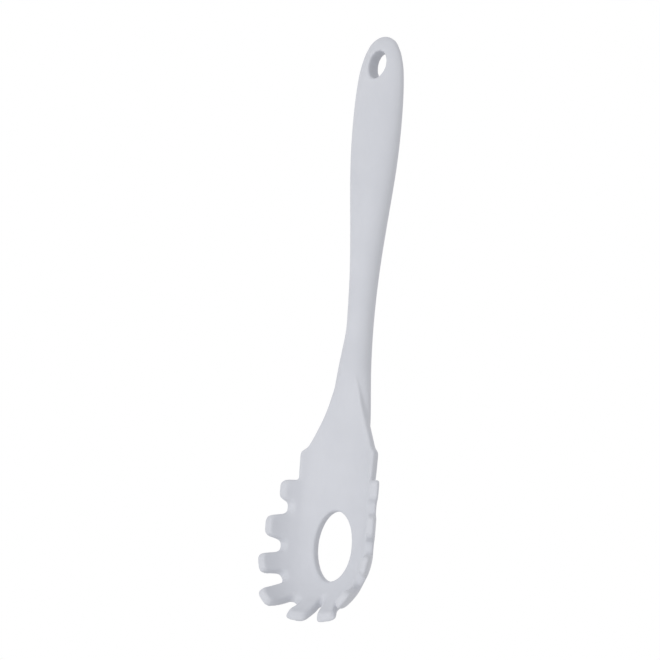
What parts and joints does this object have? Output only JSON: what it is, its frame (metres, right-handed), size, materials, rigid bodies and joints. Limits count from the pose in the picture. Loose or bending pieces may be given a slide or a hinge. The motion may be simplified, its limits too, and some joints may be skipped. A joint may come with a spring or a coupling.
{
  "type": "pasta server",
  "caption": "Pale grey silicone pasta server: oval handle with a hang hole and a dished head with blunt tines round its rim and an oval drain hole in its floor.",
  "frame": {"origin": "the middle of the hang hole, halfway through the handle", "axes": "+Z runs from the head up through the handle to its hanging end, +X to the right when the open side of the head is seen from the front, and -Y is the open side of the head"},
  "size_m": [0.0734, 0.0374, 0.3169],
  "materials": {
    "silicone": "matte",
    "nylon": "matte"
  },
  "bodies": {
    "root": {"silicone_skin": "silicone", "nylon_core": "nylon"}
  },
  "joints": []
}
